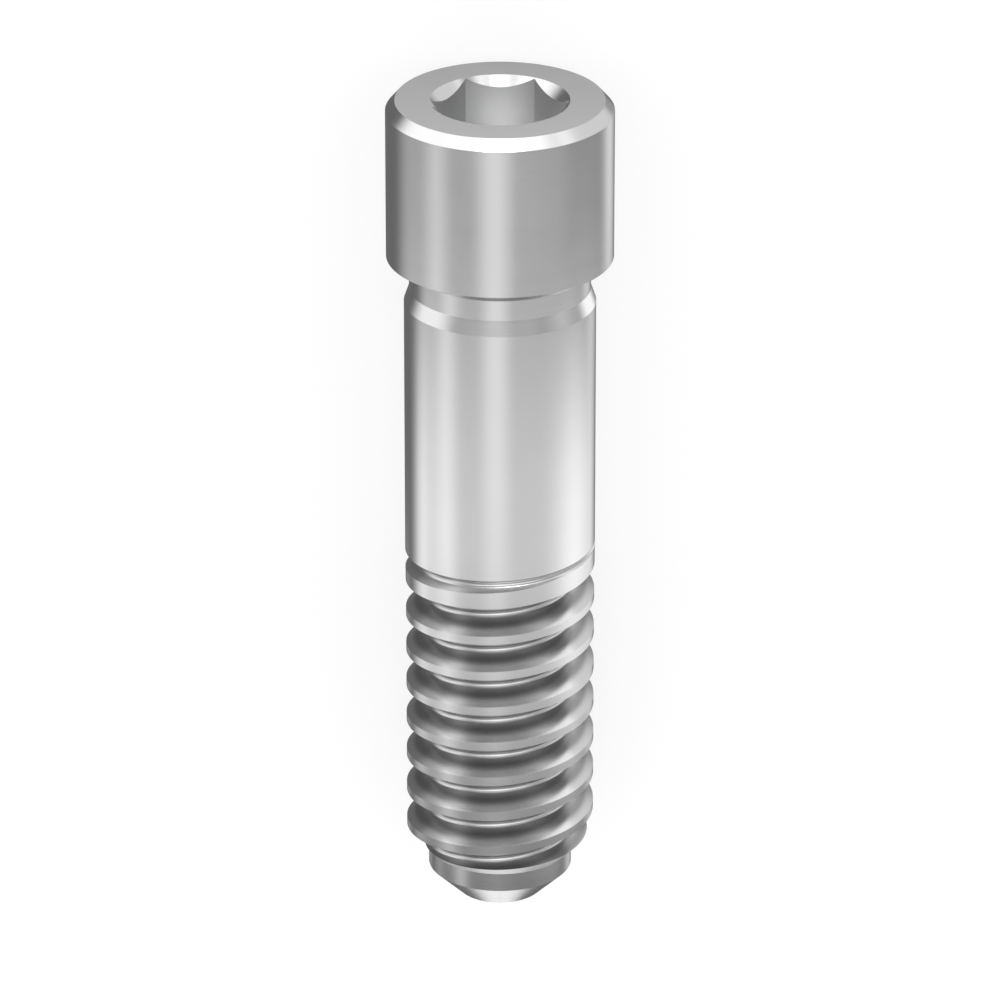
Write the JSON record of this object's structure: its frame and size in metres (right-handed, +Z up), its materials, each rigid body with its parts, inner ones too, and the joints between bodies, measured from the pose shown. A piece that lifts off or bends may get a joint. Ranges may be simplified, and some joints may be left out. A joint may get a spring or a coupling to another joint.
{
  "type": "dental implant screw",
  "caption": "Slim turned screw with a cylindrical head, countersunk hexagon socket, smooth shank, fine right-hand thread and plain tapered point, which clamps an abutment to a dental implant.",
  "frame": {"origin": "on the plane that the screw lies on, below the middle of its box", "axes": "+X from the point towards the head, along the screw apart from its slight tilt at rest, +Z up, +Y across"},
  "size_m": [0.0088, 0.0022, 0.0023],
  "materials": {
    "titanium": "satin, turned"
  },
  "bodies": {
    "root": {"screw": "titanium"}
  },
  "joints": []
}
